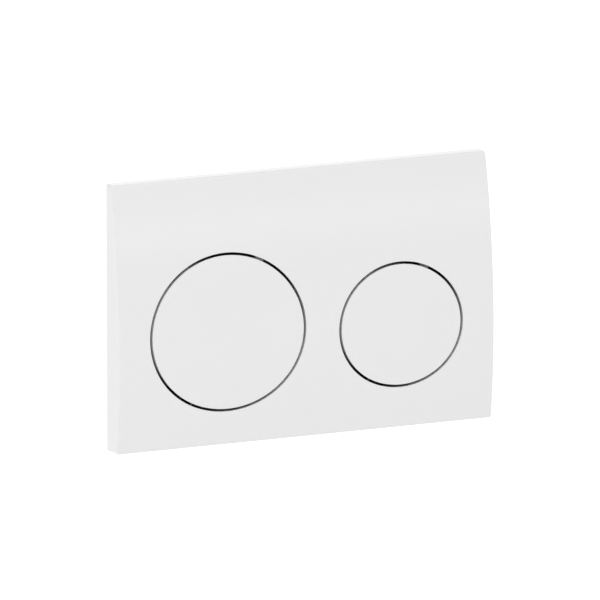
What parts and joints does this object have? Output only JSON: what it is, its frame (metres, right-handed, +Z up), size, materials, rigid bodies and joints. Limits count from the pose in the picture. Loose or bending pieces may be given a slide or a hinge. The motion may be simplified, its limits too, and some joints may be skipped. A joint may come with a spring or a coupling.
{
  "type": "flush button plate",
  "caption": "Wall plate for a concealed cistern, with a convex front and a large and a small round hinged button that press rods through the wall.",
  "frame": {"origin": "middle of the plate's back on the wall plane", "axes": "+X to the right and +Z up as seen from the room, +Y into the wall, the front faces -Y"},
  "size_m": [0.24, 0.082, 0.17],
  "materials": {
    "cover_gloss": "glossy white moulded plastic",
    "button_gloss": "glossy white moulded plastic",
    "frame_plastic": "fine-grained grey moulded plastic",
    "panel_plastic": "dark fine-grained moulded plastic",
    "rod_plastic": "natural white moulded plastic",
    "nut_plastic": "dark moulded plastic",
    "spring_steel": "drawn stainless steel",
    "zinc_steel": "zinc-plated steel",
    "soft_rubber": "matt black rubber"
  },
  "bodies": {
    "plate": {"cover_plate": "cover_gloss", "mounting_frame": "frame_plastic", "guard_panel": "panel_plastic", "full_hinge_pin": "spring_steel", "half_hinge_pin": "spring_steel", "full_pin_clip": "spring_steel", "half_pin_clip": "spring_steel", "full_return_spring": "spring_steel", "half_return_spring": "spring_steel", "fixing_stud_left": "zinc_steel", "fixing_stud_right": "zinc_steel", "stud_washer_left": "zinc_steel", "stud_washer_right": "zinc_steel", "hand_nut_left": "nut_plastic", "hand_nut_right": "nut_plastic"},
    "full_button": {"full_flush_button": "button_gloss", "full_stop_pads": "soft_rubber"},
    "half_button": {"half_flush_button": "button_gloss", "half_stop_pads": "soft_rubber"},
    "full_rod": {"full_push_rod": "rod_plastic", "full_rod_head": "rod_plastic", "full_rod_lock": "nut_plastic", "full_rod_tip": "soft_rubber"},
    "half_rod": {"half_push_rod": "rod_plastic", "half_rod_head": "rod_plastic", "half_rod_lock": "nut_plastic", "half_rod_tip": "soft_rubber"}
  },
  "joints": [
    {"name": "full_flush_press", "type": "hinge", "parent": "plate", "child": "full_button", "pos_m": [-0.05, -0.007, 0.0465], "axis": [1, 0, 0], "range_deg": [0, 4], "stiffness_Nm_per_rad": 3, "springref_deg": -2.86},
    {"name": "full_rod_slide", "type": "slide", "parent": "plate", "child": "full_rod", "axis": [0, 1, 0], "range_m": [0, 0.0042], "deforming": ["full_return_spring"]},
    {"name": "half_flush_press", "type": "hinge", "parent": "plate", "child": "half_button", "pos_m": [0.0605, -0.007, 0.0309], "axis": [1, 0, 0], "range_deg": [0, 5], "stiffness_Nm_per_rad": 3, "springref_deg": -2.86},
    {"name": "half_rod_slide", "type": "slide", "parent": "plate", "child": "half_rod", "axis": [0, 1, 0], "range_m": [0, 0.0042], "deforming": ["half_return_spring"]}
  ],
  "couplings": [
    {"joint": "full_rod_slide", "follows": "full_flush_press", "m_per_rad": 0.0565},
    {"joint": "half_rod_slide", "follows": "half_flush_press", "m_per_rad": 0.0464}
  ]
}
